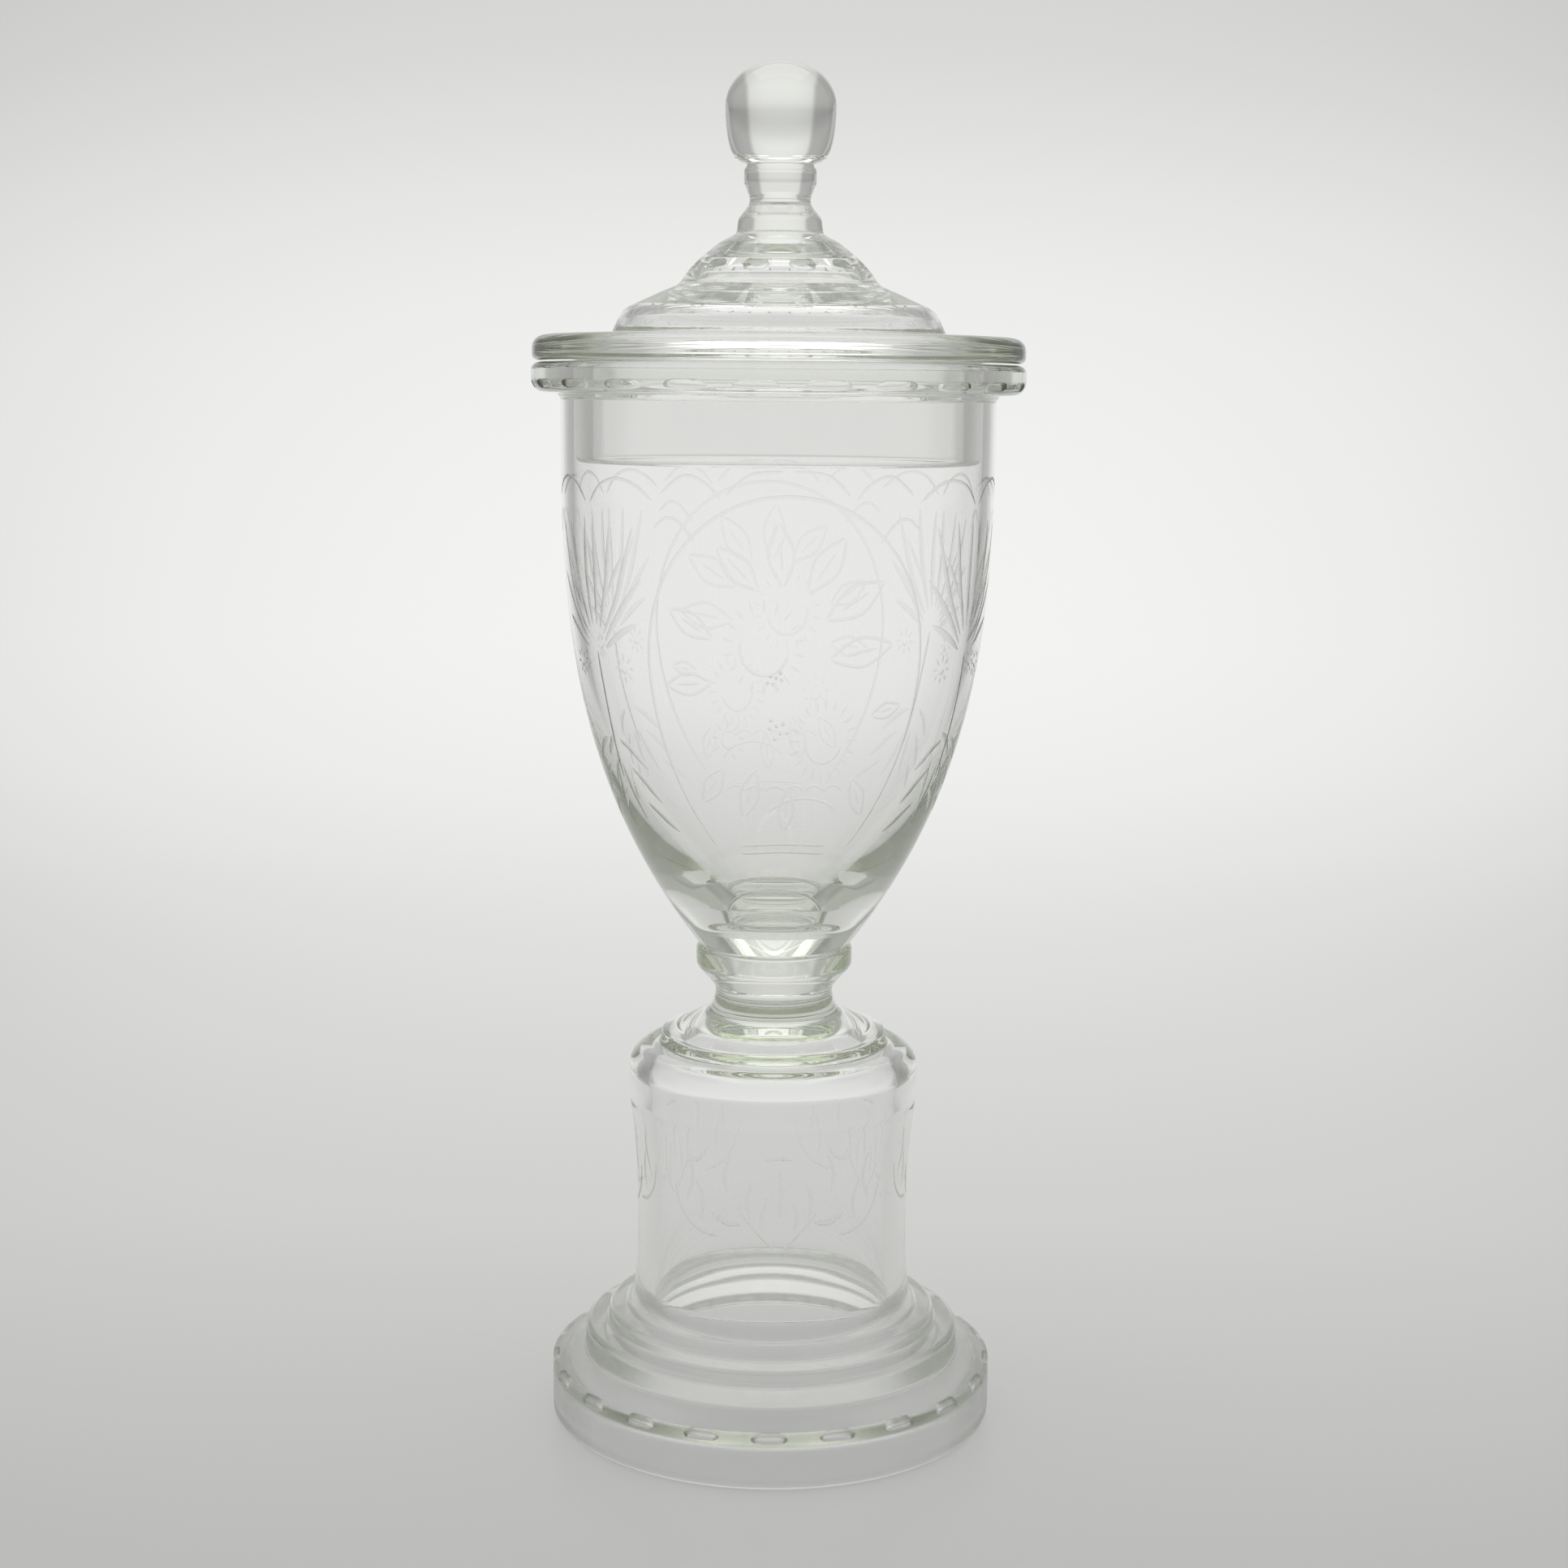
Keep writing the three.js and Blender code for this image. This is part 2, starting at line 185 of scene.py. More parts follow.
def goblet_outside():
    """From the foot's outer edge up to the top of the rim."""
    tread = upper_ring.top - FLARE_HEIGHT
    flare = drum_radius(drum.foot)
    points = rounded([
        (plinth.radius - MOUTH_WALL, 0), (plinth.radius, 0, 2.0), (plinth.radius, PLINTH_SIDE, 0.8),
        (lower_ring.radius, plinth.top, 1.0), (lower_ring.radius, lower_ring.top, 1.6),
        (upper_ring.radius, lower_ring.top + 0.3, 0.8), (upper_ring.radius, tread, 1.5),
        (flare + 1.4, tread + 0.4, 1.5), (flare, drum.foot),
    ])
    points += [(drum_radius(height), height) for height in levels(drum.foot, drum.top)][1:]
    points += rounded([
        (cap.radius, drum.top), (cap.radius, drum.top + 6.6, 6), (28.8, 85.4, 4), (25.3, 85.7, 0.6),
        (25.1, 88.4, 1.2), (14.2, cap.top - 0.6, 4), (NECK_RADIUS, cap.top + 3.5, 4),
        (NECK_RADIUS + 0.2, cap.top + 5.2, 3), (collar.radius, neck.top + 2.4, 2.5),
        (collar.radius, collar.top - 0.6, 2.5), (BOWL_FOOT_RADIUS, collar.top, 0.4),
        (bowl_radius(bowl.foot + 0.4), bowl.foot + 0.4),
    ])[1:-1]
    points += [(bowl_radius(height), height) for height in levels(bowl.foot, bowl.top - 2, 1.3)][1:]
    points += rounded([
        (bowl.radius, bowl.top - 2), (bowl.radius, bowl.top + 0.2, 1.0),
        (bowl.radius + 0.8, bowl.top + 1.2, 0.8), (rim.radius, bowl.top + 1.6, 3.8),
        (rim.radius, rim.top, 1.7), (bowl.radius - BOWL_WALL, rim.top, 0.8),
        (bowl.radius - BOWL_WALL, bowl.top),
    ])[1:]
    return points


def cavity_radius(height):
    """Inner radius of the bowl, whose wall thickens downwards."""
    floor = bowl.foot + FLOOR_THICKNESS
    fade = (1 - (height - floor) / (bowl.top - floor)) ** THICKENING_FADE
    return bowl_radius(height) - BOWL_WALL - BASE_THICKENING * fade


def bowl_cavity():
    """From the bore under the rim down to the small flat floor."""
    floor = bowl.foot + FLOOR_THICKNESS
    corner = floor + FLOOR_CORNER_HEIGHT
    side = [(cavity_radius(height), height) for height in levels(corner, bowl.top, 1.4)[::-1]][1:]
    foot = cavity_radius(corner)
    return rounded([*side[:-1], (foot, corner, 3), (foot - FLOOR_CORNER_WIDTH, floor, 5), (0, floor)])


def pedestal_hollow():
    """From the axis under the cap, down the drum's bore, and out to the foot's mouth."""
    ceiling = cap.foot + 10
    shelf = cap.foot + 5.7
    top_bore = drum.radius - DRUM_WALL
    tread = upper_ring.top - FLARE_HEIGHT
    foot_bore = drum_radius(drum.foot) - DRUM_WALL
    mouth = plinth.radius - MOUTH_WALL
    bore_top = cap.foot - 3
    points = rounded([
        (0, ceiling), (15, ceiling - 0.4, 8), (20, shelf + 0.3, 6), (top_bore, shelf, 7),
        (top_bore, bore_top),
    ])
    downwards = levels(drum.foot, bore_top)[::-1]
    points += [(drum_radius(height) - DRUM_WALL, height) for height in downwards][1:]
    points += rounded([
        (foot_bore, drum.foot), (foot_bore, tread, 2),
        (plinth.radius - CONE_FOOT_INSET, CONE_FOOT_HEIGHT, 2), (mouth, MOUTH_HEIGHT, 1.5), (mouth, 0),
    ])[1:]
    return points


def cover_outline():
    """From the axis under the bell, down to the fitting ring, and over the outside to the top."""
    bore = fitting.radius - FITTING_WALL
    ceiling = dome.top + 7.5
    inner_bell = bell.radius - BELL_WALL
    inner_dome = dome.radius - COVER_WALL
    points = rounded([
        (0, ceiling), (8, ceiling - 0.5, 4), (13.4, 257.2, 6), (16.9, 254.4, 4),
        (inner_bell, 250.2, 1.0), (24, 248.6, 6), (inner_dome - 1.7, 246, 4),
        (inner_dome + 0.3, flange.top, 2), (bore, flange.foot + 2, 3),
        (bore, fitting.foot, 1.2), (fitting.radius, fitting.foot, 1.2),
        (fitting.radius, fitting.top, 0.4),
        (flange.radius, flange.foot, 1.4), (flange.radius, flange.top - 0.8, 4.4),
        (46, flange.top - 0.4, 3), (dome.radius, flange.top, 0.6), (dome.radius - 2.4, 247.2, 5),
        (26.6, 250.5, 8), (bell.radius - 0.9, dome.top + 1, 3), (19.9, 255.2, 6), (17.1, 258.2, 6),
        (12.9, 261.5, 6), (waist.radius + 0.4, bell.top, 0.6), (waist.radius, 266.5, 2.4),
        (waist.radius - 2.8, waist.top, 2.6), (knop.radius, 274, 3), (knop.radius, 276.8, 1.2),
        (knop.radius - 0.8, 277.9, 0.4), (8.8, 278.6, 1.5), (BALL_FOOT_RADIUS, BALL_FOOT),
    ])
    middle = ball.top - BALL_RISE
    swell, drop = ball.radius - BALL_FOOT_RADIUS, middle - BALL_FOOT
    for step in range(1, BALL_LOW_STEPS + 1):
        angle = math.pi / 2 * step / BALL_LOW_STEPS
        points.append((BALL_FOOT_RADIUS + swell * math.sin(angle), middle - drop * math.cos(angle)))
    for step in range(1, BALL_TOP_STEPS + 1):
        angle = math.pi / 2 * step / BALL_TOP_STEPS
        points.append((ball.radius * math.cos(angle), middle + BALL_RISE * math.sin(angle)))
    points[-1] = (0, ball.top)
    return points


def spun(name, outline):
    """A closed solid of revolution round the vertical axis."""
    mesh = bpy.data.meshes.new(name)
    shape = bmesh.new()
    rows = []
    for radius, height in outline:
        if radius < 1e-6:
            rows.append([shape.verts.new((0, 0, height * MM))])
            continue
        turns = [2 * math.pi * side / SIDES for side in range(SIDES)]
        rows.append([
            shape.verts.new((radius * math.cos(turn) * MM, radius * math.sin(turn) * MM, height * MM))
            for turn in turns
        ])
    for low, high in zip(rows, rows[1:]):
        for side in range(SIDES):
            after = (side + 1) % SIDES
            below = [low[side % len(low)], low[after % len(low)]]
            above = [high[after % len(high)], high[side % len(high)]]
            unique = list(dict.fromkeys(below + above))
            if len(unique) > 2:
                shape.faces.new(unique)
    bmesh.ops.remove_doubles(shape, verts=shape.verts, dist=1e-7)
    bmesh.ops.recalc_face_normals(shape, faces=shape.faces)
    shape.to_mesh(mesh)
    shape.free()
    mesh.shade_smooth()
    piece = bpy.data.objects.new(name, mesh)
    bpy.context.scene.collection.objects.link(piece)
    return piece


def link(tree, source, target):
    """Joins an output, or sets a plain number, to an input."""
    if isinstance(source, (int, float)):
        target.default_value = source
    else:
        tree.links.new(source, target)


def maths(tree, operation, *values):
    """The result of a sum or product of outputs and plain numbers."""
    node = tree.nodes.new("ShaderNodeMath")
    node.operation = operation
    for value, socket in zip(values, node.inputs):
        link(tree, value, socket)
    return node.outputs[0]


IOR = 1.5
TINT = (0.55, 0.62, 0.42, 1)
TINT_DENSITY = 9

# How matt the glass is: the roughness of cut lines, and the share of it on the faces of the foot
FROST_ROUGHNESS = 0.3
RING_SHARE = 0.3
PLINTH_SHARE = 0.9
HOLLOW_SHARE = 0.8


def glass_material():
    """Colourless glass, faintly grey-green where it is thick; cut lines and the foot are less clear."""
    material = bpy.data.materials.new("glass")
    material.use_nodes = True
    tree = material.node_tree
    shader = tree.nodes["Principled BSDF"]
    shader.inputs["Base Color"].default_value = (1, 1, 1, 1)
    shader.inputs["Transmission Weight"].default_value = 1
    shader.inputs["IOR"].default_value = IOR
    frosted = tree.nodes.new("ShaderNodeAttribute")
    frosted.attribute_name = "frosted"
    roughness = maths(tree, "MULTIPLY", frosted.outputs["Fac"], FROST_ROUGHNESS)
    tree.links.new(roughness, shader.inputs["Roughness"])
    tint = tree.nodes.new("ShaderNodeVolumeAbsorption")
    tint.inputs["Color"].default_value = TINT
    tint.inputs["Density"].default_value = TINT_DENSITY
    tree.links.new(tint.outputs[0], tree.nodes["Material Output"].inputs["Volume"])
    return material


# The cut work is drawn in millimetres on the unrolled wall, each motif round a centre of its own.
POLISHED, FROSTED = 1, 2
MEDALLION_TURNS = (3, 183)
SPRAY_TURNS = (63, 123, 243, 303)
SPRIG_TURNS = (3, 123, 243)
MEDALLION_HEIGHT = 172
MEDALLION_HALF_WIDTH = 32
MEDALLION_RISE = 37
MEDALLION_DROP = 47
MEDALLION_OPENING = 37
LINE_WIDTH = 0.7
LINE_DEPTH = 0.12
BLADE_WIDTH = 1.7
BLADE_DEPTH = 0.06
SECTION = 6
PLINTH_OLIVES = 21
RIM_OLIVES = 23
BELL_OLIVES = 12
DOME_LEAVES = 18
SPRIG_HEIGHT = 53.5
SPRIG_FAINTNESS = 0.5
PLINTH_OLIVE_INSET, PLINTH_OLIVE_LEAN, PLINTH_OLIVE_DROP = 0.75, 52, 1.5
RIM_OLIVE_INSET, RIM_OLIVE_LEAN, RIM_OLIVE_RISE = 0.3, -20, 3
BELL_OLIVE_RADIUS, BELL_OLIVE_HEIGHT = 18, 256.2
DOME_LEAF_RADIUS, DOME_LEAF_HEIGHT = 33, 247.4


@dataclass
class Stroke:
    """A cut along a path of (degrees round the axis, height) points, drawn to a point at both ends."""
    path: np.ndarray
    width: float
    depth: float
    finish: int = FROSTED
    blunt: float = 0.25


def curve(points, gap=1.6):
    """A smooth path through the points."""
    knots = np.array([points[0], *points, points[-1]], float)
    path = []
    for a, b, c, d in zip(knots, knots[1:], knots[2:], knots[3:]):
        steps = max(2, round(float(np.linalg.norm(c - b)) / gap))
        for t in np.arange(steps) / steps:
            path.append(b + 0.5 * ((c - a) * t + (2 * a - 5 * b + 4 * c - d) * t ** 2
                                   + (3 * b - a - 3 * c + d) * t ** 3))
    return np.array([*path, knots[-1]])


def arc(centre, radii, first, last, gap=1.6):
    """Part of an ellipse; its angles in degrees run clockwise from the top."""
    length = math.radians(abs(last - first)) * max(radii)
    turn = np.radians(np.linspace(first, last, max(5, round(length / gap))))
    return np.column_stack([centre[0] + radii[0] * np.sin(turn), centre[1] + radii[1] * np.cos(turn)])


def line(path, width=LINE_WIDTH):
    return Stroke(path, width, width * LINE_DEPTH)


def blade(points, width=BLADE_WIDTH):
    """A leaf cut in one stroke, widest in the middle."""
    return Stroke(curve(points), width, width * BLADE_DEPTH, blunt=1.0)


def leaf(base, tip, bulge):
    """A leaf in outline, with a midrib."""
    base, tip = np.array(base, float), np.array(tip, float)
    side = np.array([base[1] - tip[1], tip[0] - base[0]]) * bulge
    middle = (base + tip) / 2
    rib = base + (tip - base) * 0.75
    edges = [line(curve([base, middle + side * sign, tip])) for sign in (-1, 1)]
    return [*edges, line(curve([base * 0.7 + rib * 0.3, rib]), LINE_WIDTH * 0.8)]


def daisy(centre, inner, outer, petals, squash=1.1):
    """Short petals round an open eye, with part of a ring inside them."""
    strokes = [line(arc(centre, (inner * 0.85, inner * 0.85 * squash), 95, 290))]
    for petal in range(petals):
        turn = 2 * math.pi * petal / petals
        way = np.array([math.sin(turn), math.cos(turn) * squash])
        strokes.append(blade([centre + way * inner, centre + way * outer], 0.9))
    return strokes


def berries(centre, count, spread):
    """Round cuts in a tight spiral."""
    strokes = []
    for berry in range(count):
        turn, reach = berry * 2.4, spread * math.sqrt((berry + 0.5) / count)
        spot = centre + reach * np.array([math.sin(turn), math.cos(turn)])
        strokes.append(Stroke(curve([spot - (0.55, 0), spot + (0.55, 0)]), 1.1, 0.4, blunt=0.5))
    return strokes


def mirrored(strokes):
    """The strokes and their mirror image."""
    return strokes + [Stroke(s.path * (-1, 1), s.width, s.depth, s.finish, s.blunt) for s in strokes]


def medallion():
    """An oval frame, open below, with two daisies, berries and leaves inside it."""
    turn = np.radians(np.linspace(-180 + MEDALLION_OPENING, 180 - MEDALLION_OPENING, 104))
    reach = np.where(np.cos(turn) > 0, MEDALLION_RISE, MEDALLION_DROP)
    frame = np.column_stack([MEDALLION_HALF_WIDTH * np.sin(turn), reach * np.cos(turn)])
    strokes = [line(frame, 0.8)]
    strokes += [line(curve([(-13, low), (0, low + 0.6), (13, low)])) for low in (-36.4, -38.2)]
    strokes += daisy(np.array((-5.0, 6.5)), 6.2, 9.4, 18)
    strokes += daisy(np.array((9.0, -13.0)), 5.2, 8.8, 20)
    strokes += daisy(np.array((-13.5, -13.0)), 2.0, 4.4, 9)
    strokes += berries(np.array((-2.2, -10.5)), 7, 2.6)
    for base, tip in (
        ((-6, 18), (-15, 27)), ((-1, 18.5), (-2, 32)), ((4, 17.5), (12, 29)), ((8, 12), (21, 20)),
        ((9, 4), (24, 7)), ((-16, 8), (-26, 14)), ((-16.5, -1), (-28, -2)), ((20, -8), (28, -6)),
        ((17, -21), (22, -30)), ((-15, -19), (-22, -27)), ((1, -23), (0, -33)), ((-7, -19), (-11, -30)),
    ):
        strokes += leaf(base, tip, 0.2)
    for step in range(6):
        strokes.append(line(arc((-12.5 + 5 * step, -24.5), (2.4, 1.8), -85, 85, 0.9), 0.6))
    strokes.append(line(arc((5, -31), (10, 5.5), -70, 70)))
    return strokes


def crest():
    """Scallops that link the top of a medallion with the arches beside it."""
    return mirrored([line(curve([(27.5, 37), (22, 41), (17, 39.4), (14, 36.2)])),
                     line(curve([(13, 36.8), (8, 41.2), (0.8, 42)]))])


def spray():
    """A palm spray under two arches, with rosettes at its foot and drooping leaves below."""
    half = [
        blade([(0.9, 9), (1.9, 20), (1.6, 32)]), blade([(2, 8), (6, 19), (8, 32)]),
        blade([(3, 7), (9.5, 16), (15, 31)]), blade([(3.4, 5.6), (10, 12.6), (17, 20)]),
        blade([(3.4, 4.2), (9, 7.6), (15, 10.4)]), blade([(5, 14.6), (8.6, 20), (12, 25)], 1.2),
        blade([(2.4, -15), (7, -17), (12.4, -21.4)]), blade([(5, -21), (9, -23.4), (14.6, -28.6)]),
        blade([(8, -28.4), (12, -30.6), (18, -34.6)]), blade([(1.2, -20), (2.6, -26), (5.4, -33)], 1.3),
        line(curve([(0.6, 34.6), (4.8, 38.6), (10.5, 40), (16, 38.6), (20.4, 35.4)])),
        line(curve([(20, 30), (23.4, 32.4), (26.6, 31.4), (30, 27.4)])),
    ]
    half += daisy(np.array((9.6, 0.6)), 1.1, 3.6, 8, 1.0)
    return mirrored(half) + [line(curve([(0, 4), (0.6, -8), (0, -24)]), 0.9)]


def sprig():
    """A small bunch of leaves on the drum, between two curling stems."""
    half = [
        line(curve([(1, -7), (4.6, -3.4), (9.4, 1.6)])), blade([(3.6, -3), (4, 1), (2.6, 5)], 1.1),
        blade([(6.6, -0.6), (7.4, 4), (6.2, 8.6)], 1.2), blade([(8, -1), (12, -1.4), (16, 0.6)], 1.2),
        line(curve([(14, -4.6), (20, -3.4), (24.4, 0.6), (26, 6)])),
        blade([(19, -2), (18, 3), (20, 8)], 1.2),
        blade([(23, 2), (20.6, 8), (22, 13.6)], 1.1), blade([(12, 5), (12.6, 10), (10.6, 15)], 1.2),
    ]
    middle = [
        blade([(0, 0), (0.3, 6), (0, 12)], 1.3), line(curve([(-3.4, 13.4), (0, 13.9), (3.4, 13.4)])),
    ]
    return mirrored(half) + middle


def olive(width, height, depth):
    """A polished oval facet."""
    return Stroke(curve([(-width / 2, 0), (width / 2, 0)], 0.8), height, depth, POLISHED, blunt=0.55)


def placed(strokes, turn, height, radius, faintness=1.0):
    """Motifs moved to their place on a wall with the girth of the radius, cut less deep if faint."""
    degrees = math.degrees(1 / radius)
    return [
        Stroke(s.path * (degrees, 1) + (turn, height), s.width, s.depth * faintness, s.finish, s.blunt)
        for s in strokes
    ]


def wall(radius_at):
    """The place on a turned wall, and its outward direction, at an angle and a height."""
    def place(angle, height):
        turn, radius = math.radians(angle), radius_at(height)
        slope = (radius_at(height + 0.05) - radius_at(height - 0.05)) / 0.1
        out = np.array([math.sin(turn), -math.cos(turn), -slope])
        out /= np.linalg.norm(out)
        return np.array([radius * math.sin(turn), -radius * math.cos(turn), height]), out
    return place


def edge(radius, lean):
    """The same for a rounded edge, which faces outward and up by the lean in degrees."""
    def place(angle, height):
        turn, rise = math.radians(angle), math.radians(lean)
        level = math.cos(rise)
        out = np.array([math.sin(turn) * level, -math.cos(turn) * level, math.sin(rise)])
        return np.array([radius * math.sin(turn), -radius * math.cos(turn), height]), out
    return place


def spindle(stroke, place):
    """Rings of points round the path of a stroke, between two tips: the solid that is cut away."""
    spots = [place(*point) for point in stroke.path]
    centres, outs = np.array([s[0] for s in spots]), np.array([s[1] for s in spots])
    along = np.gradient(centres, axis=0)
    across = np.cross(outs, along)
    across /= np.linalg.norm(across, axis=1)[:, None]
    run = np.concatenate([[0], np.cumsum(np.linalg.norm(np.diff(centres, axis=0), axis=1))])
    share = np.minimum(run, run[-1] - run) / (run[-1] / 2)
    swell = np.sqrt(np.sin(np.minimum(1, share / stroke.blunt) * math.pi / 2))[1:-1]
    ring = 2 * math.pi * np.arange(SECTION) / SECTION
    sides = across[1:-1, None] * (swell[:, None] * np.cos(ring))[..., None] * stroke.width / 2
    lift = outs[1:-1, None] * (swell[:, None] * np.sin(ring))[..., None] * stroke.depth
    body = (centres[1:-1, None] + sides + lift).reshape(-1, 3)
    verts = np.concatenate([centres[:1], body, centres[-1:]])
    faces, last = [], len(verts) - 1
    for k in range(SECTION):
        after = (k + 1) % SECTION
        faces.append((0, 1 + after, 1 + k))
        faces.append((last, last - SECTION + k, last - SECTION + after))
        for row in range(len(swell) - 1):
            low, high = 1 + row * SECTION, 1 + (row + 1) * SECTION
            faces.append((low + k, low + after, high + after, high + k))
    return verts, faces


def cells(verts):
    """The millimetre cells of space, and their neighbours, that a cutter's points fall in."""
    near = np.array([(x, y, z) for x in (-1, 0, 1) for y in (-1, 0, 1) for z in (-1, 0, 1)])
    spots = np.unique(np.round(verts).astype(int), axis=0)
    return set(map(tuple, (spots[:, None] + near).reshape(-1, 3)))


def cutter_batches(cuts):
    """Cutters in a few batches, so that none crosses another of its batch."""
    batches = []
    for stroke, place in cuts:
        verts, faces = spindle(stroke, place)
        taken = set(map(tuple, np.round(verts).astype(int)))
        batch = next((b for b in batches if not (taken & b["cells"])), None)
        if batch is None:
            batch = {"cells": set(), "verts": [], "faces": [], "finish": []}
            batches.append(batch)
        start = len(batch["verts"])
        batch["cells"] |= cells(verts)
        batch["verts"].extend(verts * MM)
        batch["faces"].extend(tuple(start + corner for corner in face) for face in faces)
        batch["finish"].extend([stroke.finish] * len(faces))
    return batches


def carve(piece, cuts):
    """Cuts the strokes into a piece and leaves their finish as the material index of the cut faces."""
    glass_slots = [piece.data.materials[0]] * (FROSTED + 1)
    piece.data.materials.clear()
    for material in glass_slots:
        piece.data.materials.append(material)
    cutters = []
    for number, batch in enumerate(cutter_batches(cuts)):
        mesh = bpy.data.meshes.new("cutter")
        mesh.from_pydata(batch["verts"], [], batch["faces"])
        for material in glass_slots:
            mesh.materials.append(material)
        mesh.polygons.foreach_set("material_index", batch["finish"])
        cutter = bpy.data.objects.new("cutter", mesh)
        bpy.context.scene.collection.objects.link(cutter)
        cutters.append(cutter)
        cut = piece.modifiers.new(f"cut_{number}", "BOOLEAN")
        cut.operation, cut.solver, cut.object = "DIFFERENCE", "MANIFOLD", cutter
    bpy.context.view_layer.update()
    depsgraph = bpy.context.evaluated_depsgraph_get()
    carved = bpy.data.meshes.new_from_object(piece.evaluated_get(depsgraph))
    piece.modifiers.clear()
    plain, piece.data = piece.data, carved
    carved.name = plain.name + "_carved"
    bpy.data.meshes.remove(plain)
    for cutter in cutters:
        bpy.data.meshes.remove(cutter.data)


def outline_normals(outline):
    """The start, the end and the outward normals at both ends of each stretch of an outline.

    Where a straight stretch runs into an arc, the normal there is nearly that of the longer one, so
    that the stretch stays straight.
    """
    points = np.array(outline, float)
    starts, ends = points[:-1], points[1:]
    way = ends - starts
    length = np.linalg.norm(way, axis=1)
    keep = length > 1e-6
    starts, ends, length = starts[keep], ends[keep], length[keep, None]
    way = way[keep] / length
    normals = np.column_stack([way[:, 1], -way[:, 0]])
    first, last = normals.copy(), normals.copy()
    soft = np.einsum("ij,ij->i", normals[1:], normals[:-1]) > math.cos(SHARP_TURN)
    shared = normals[1:] * length[1:] ** 2 + normals[:-1] * length[:-1] ** 2
    shared /= np.linalg.norm(shared, axis=1)[:, None]
    first[1:][soft] = shared[soft]
    last[:-1][soft] = shared[soft]
    return starts, ends, first, last


def finish_surface(mesh, outline):
    """Gives turned faces the outline's normals, cut faces their own, and marks how matt each one is."""
    count, corners = len(mesh.polygons), len(mesh.loops)
    finish = np.zeros(count, int)
    mesh.polygons.foreach_get("material_index", finish)
    totals = np.zeros(count, int)
    mesh.polygons.foreach_get("loop_total", totals)
    vertex = np.zeros(corners, int)
    mesh.loops.foreach_get("vertex_index", vertex)
    places = np.zeros(len(mesh.vertices) * 3)
    mesh.vertices.foreach_get("co", places)
    places = places.reshape(-1, 3) / MM
    flat = np.zeros(count * 3)
    mesh.polygons.foreach_get("normal", flat)
    flat = flat.reshape(-1, 3)
    centre = np.zeros(count * 3)
    mesh.polygons.foreach_get("center", centre)
    centre = centre.reshape(-1, 3) / MM
    area = np.zeros(count)
    mesh.polygons.foreach_get("area", area)
    face = np.repeat(np.arange(count), totals)
    flat_radial = (flat[:, 0] * centre[:, 0] + flat[:, 1] * centre[:, 1]) / np.maximum(
        1e-9, np.hypot(centre[:, 0], centre[:, 1]))

    starts, ends, first, last = outline_normals(outline)
    way = ends - starts
    reach = np.einsum("ij,ij->i", way, way)
    spot = np.column_stack([np.hypot(centre[:, 0], centre[:, 1]), centre[:, 2]])
    facing = np.column_stack([flat_radial, flat[:, 2]])
    nearest = np.zeros(count, int)
    for low in range(0, count, 8192):
        part = spot[low:low + 8192, None] - starts
        share = np.clip(np.einsum("ijk,jk->ij", part, way) / reach, 0, 1)
        gap = np.linalg.norm(part - share[..., None] * way, axis=2)
        gap += 2 * (1 - facing[low:low + 8192] @ ((first + last) / 2).T)
        nearest[low:low + 8192] = np.argmin(gap, axis=1)

    side = nearest[face]
    here = places[vertex]
    radius = np.hypot(here[:, 0], here[:, 1])
    ahead = np.column_stack([radius, here[:, 2]]) - starts[side]
    share = np.einsum("ij,ij->i", ahead, way[side]) / reach[side]
    share = np.clip(share, 0, 1)[:, None]
    turned = first[side] * (1 - share) + last[side] * share
    around = np.where(radius[:, None] > 1e-4, here[:, :2] / np.maximum(radius, 1e-9)[:, None], 0)
    normals = np.column_stack([around * turned[:, :1], turned[:, 1]])

    cut = finish[face] > 0
    gathered = np.zeros((len(mesh.vertices), 3))
    for axis in range(3):
        weights = (flat[:, axis] * area)[face][cut]
        gathered[:, axis] = np.bincount(vertex[cut], weights, minlength=len(mesh.vertices))
    normals[cut] = gathered[vertex[cut]]
    normals /= np.maximum(1e-12, np.linalg.norm(normals, axis=1))[:, None]

    matt = (finish == FROSTED).astype(float)
    foot = (finish != FROSTED) & (centre[:, 2] < drum.foot)
    inward = (flat_radial < 0) | (flat[:, 2] < 0)
    outside = np.where(centre[:, 2] < plinth.top, PLINTH_SHARE, RING_SHARE)
    matt[foot] = np.where(inward, HOLLOW_SHARE, outside)[foot]
    frost = mesh.attributes.new("frosted", "FLOAT", "FACE")
    frost.data.foreach_set("value", matt)
    mesh.polygons.foreach_set("material_index", np.zeros(count, int))
    while len(mesh.materials) > 1:
        mesh.materials.pop()
    mesh.shade_smooth()
    mesh.normals_split_custom_set(normals)


def bowl_cuts():
    """A medallion under scallops on the front and on the back, and two palm sprays on each side."""
    place = wall(bowl_radius)
    cuts = [(s, place) for turn in MEDALLION_TURNS
            for s in placed(medallion() + crest(), turn, MEDALLION_HEIGHT, bowl.radius)]
    return cuts + [(s, place) for turn in SPRAY_TURNS
                   for s in placed(spray(), turn, MEDALLION_HEIGHT, bowl.radius)]


def cover_radius(height):
    """Outer radius of the cover above its flange."""
    points = np.array(cover_outline())
    outside = points[np.argmax(points[:, 0]):]
    return float(np.interp(height, outside[:, 1], outside[:, 0]))


def all_round(strokes, place, count, offset, height, radius):
    """A motif repeated all round; the offset turns it by that share of the step between two."""
    return [(s, place) for number in range(count)
            for s in placed(strokes, 360 * (number + offset) / count, height, radius)]


